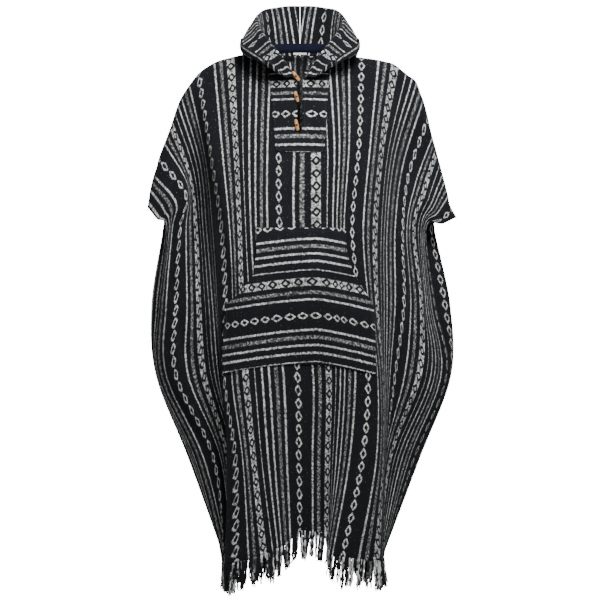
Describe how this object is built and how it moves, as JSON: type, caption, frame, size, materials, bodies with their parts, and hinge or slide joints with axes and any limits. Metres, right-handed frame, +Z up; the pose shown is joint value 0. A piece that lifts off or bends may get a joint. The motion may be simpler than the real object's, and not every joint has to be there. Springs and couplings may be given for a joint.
{
  "type": "hooded poncho",
  "caption": "Long hooded poncho in dark striped cotton, with a toggled neck slit on a cross-grain bib, a large front pocket and a fringed hem.",
  "frame": {"origin": "middle of the neck hole, at the height of the shoulders where they meet the neck", "axes": "+Z up, the front faces -Y, +X to the right of someone looking at the front"},
  "size_m": [0.6665, 0.3344, 1.2771],
  "materials": {
    "cloth": "brushed, matte",
    "tape": "matte",
    "label": "matte",
    "toggle_wood": "satin",
    "cord": "matte"
  },
  "bodies": {
    "root": {"front": "cloth", "back": "cloth", "hood_left": "cloth", "hood_right": "cloth", "placket": "cloth", "pocket": "cloth", "neck_tape": "tape", "label": "label", "toggle_1": "toggle_wood", "toggle_2": "toggle_wood", "toggle_3": "toggle_wood", "loop_1": "cord", "loop_2": "cord", "loop_3": "cord", "fringe_front": "cloth", "fringe_back": "cloth"}
  },
  "joints": []
}
